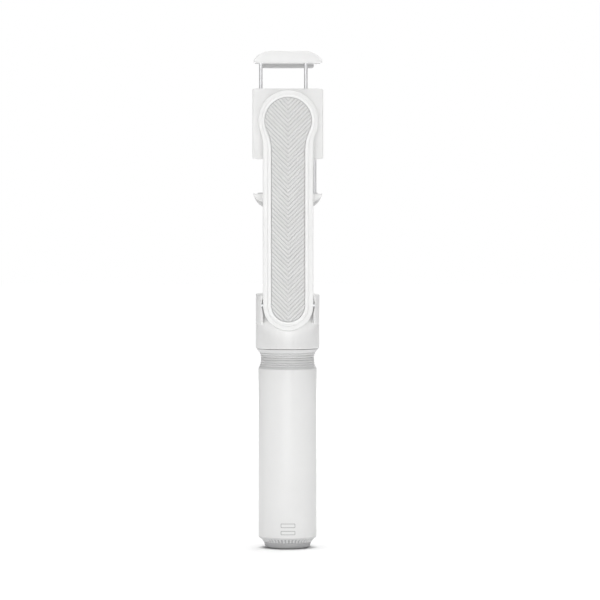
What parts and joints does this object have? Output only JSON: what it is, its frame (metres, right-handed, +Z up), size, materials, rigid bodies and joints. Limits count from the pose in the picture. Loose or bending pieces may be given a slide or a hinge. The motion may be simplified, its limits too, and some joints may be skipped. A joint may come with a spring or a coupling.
{
  "type": "gimbal stabilizer",
  "caption": "Hand-held phone gimbal with a telescoping stick, a folding arm, motorised pan and roll axes and a sprung clamp.",
  "frame": {"origin": "middle of the base, in the mouth of the tripod socket", "axes": "+Z up the handle, +Y towards the person holding it (the controls' side), -Y out of the arm's patterned face"},
  "size_m": [0.04, 0.0424, 0.2818],
  "materials": {
    "white_shell": "satin moulded",
    "grey_trim": "fine matt",
    "patterned_insert": "matt with a raised chevron pattern",
    "dark_trim": "matt",
    "rubber_pad": "soft matt",
    "steel": "ground",
    "aluminium": "anodised satin",
    "brass": "machined",
    "winding": "enamelled wire",
    "board": "solder mask",
    "cell": "foil pouch",
    "record_key": "matt",
    "lens": "clear moulded"
  },
  "bodies": {
    "handle": {"handle_shell": "white_shell", "control_panel": "grey_trim", "base_cap": "dark_trim", "base_ring": "grey_trim", "tripod_insert": "brass", "lower_collar": "grey_trim", "battery": "cell", "main_board": "board", "charging_port": "steel", "joystick_sensor": "dark_trim", "dome_strip": "dark_trim", "status_light": "lens", "tube_socket": "dark_trim", "fixed_tube": "aluminium"},
    "stage_1": {"stick_tube_1": "aluminium", "stick_bush_1": "dark_trim"},
    "stage_2": {"stick_tube_2": "aluminium", "stick_bush_2": "dark_trim"},
    "stage_3": {"stick_tube_3": "aluminium", "stick_bush_3": "dark_trim"},
    "stage_4": {"stick_tube_4": "aluminium", "stick_bush_4": "dark_trim", "upper_collar": "grey_trim", "pan_shaft": "steel", "pan_stator": "winding"},
    "fork": {"fork_cup": "white_shell", "pan_magnet_ring": "steel", "pan_bearing": "steel", "hinge_pin": "steel"},
    "arm": {"arm_frame": "white_shell", "arm_insert": "patterned_insert", "hinge_bush_left": "dark_trim", "hinge_bush_right": "dark_trim", "ribbon_cable": "winding", "roll_bearing": "steel", "roll_stator": "winding"},
    "holder": {"holder_frame": "white_shell", "holder_pad": "rubber_pad", "shaft_screw": "steel", "roll_shaft": "steel", "roll_magnet_ring": "steel"},
    "upper_clamp": {"upper_jaw": "white_shell", "upper_jaw_pad": "rubber_pad", "upper_rod_left": "steel", "upper_rod_right": "steel", "upper_spring_left": "steel", "upper_spring_right": "steel"},
    "lower_clamp": {"lower_jaw": "white_shell", "lower_jaw_pad": "rubber_pad", "lower_rod_left": "steel", "lower_rod_right": "steel", "lower_spring_left": "steel", "lower_spring_right": "steel"},
    "joystick_cradle": {"joystick_cradle": "dark_trim"},
    "joystick": {"joystick_cap": "rubber_pad"},
    "zoom_rocker": {"zoom_rocker": "grey_trim"},
    "record_button": {"record_button": "record_key"},
    "mode_button": {"mode_button": "grey_trim"},
    "power_button": {"power_button": "grey_trim"}
  },
  "joints": [
    {"name": "stick_slide_1", "type": "slide", "parent": "handle", "child": "stage_1", "axis": [0, 0, 1], "range_m": [0, 0.065]},
    {"name": "stick_slide_2", "type": "slide", "parent": "stage_1", "child": "stage_2", "axis": [0, 0, 1], "range_m": [0, 0.065]},
    {"name": "stick_slide_3", "type": "slide", "parent": "stage_2", "child": "stage_3", "axis": [0, 0, 1], "range_m": [0, 0.065]},
    {"name": "stick_slide_4", "type": "slide", "parent": "stage_3", "child": "stage_4", "axis": [0, 0, 1], "range_m": [0, 0.065]},
    {"name": "pan", "type": "hinge", "parent": "stage_4", "child": "fork", "pos_m": [0, 0, 0.1135], "axis": [0, 0, 1], "range_deg": [-165, 165]},
    {"name": "fold", "type": "hinge", "parent": "fork", "child": "arm", "pos_m": [0, -0.0212, 0.1385], "axis": [1, 0, 0], "range_deg": [-20, 180]},
    {"name": "roll", "type": "hinge", "parent": "arm", "child": "holder", "pos_m": [0, -0.0103, 0.242], "axis": [0, 1, 0], "range_deg": [-165, 165]},
    {"name": "upper_clamp_slide", "type": "slide", "parent": "holder", "child": "upper_clamp", "axis": [0, 0, 1], "range_m": [-0.008, 0.0065], "deforming": ["upper_spring_left", "upper_spring_right"]},
    {"name": "lower_clamp_slide", "type": "slide", "parent": "holder", "child": "lower_clamp", "axis": [0, 0, 1], "range_m": [-0.0065, 0.008], "deforming": ["lower_spring_left", "lower_spring_right"]},
    {"name": "joystick_tilt_updown", "type": "hinge", "parent": "handle", "child": "joystick_cradle", "pos_m": [0, 0.0123, 0.086], "axis": [1, 0, 0], "range_deg": [-12, 12], "stiffness_Nm_per_rad": 0.02},
    {"name": "joystick_tilt_sideways", "type": "hinge", "parent": "joystick_cradle", "child": "joystick", "pos_m": [0, 0.0123, 0.086], "axis": [0, 0, 1], "range_deg": [-12, 12], "stiffness_Nm_per_rad": 0.02},
    {"name": "zoom_rock", "type": "hinge", "parent": "handle", "child": "zoom_rocker", "pos_m": [0, 0.0136, 0.071], "axis": [1, 0, 0], "range_deg": [-6, 6], "stiffness_Nm_per_rad": 0.05},
    {"name": "record_press", "type": "slide", "parent": "handle", "child": "record_button", "axis": [0, -1, 0], "range_m": [0, 0.0008], "stiffness_N_per_m": 400, "springref_m": -0.0006},
    {"name": "mode_press", "type": "slide", "parent": "handle", "child": "mode_button", "axis": [0, -1, 0], "range_m": [0, 0.0008], "stiffness_N_per_m": 400, "springref_m": -0.0006},
    {"name": "power_press", "type": "slide", "parent": "handle", "child": "power_button", "axis": [0, -1, 0], "range_m": [0, 0.0008], "stiffness_N_per_m": 400, "springref_m": -0.0006}
  ]
}
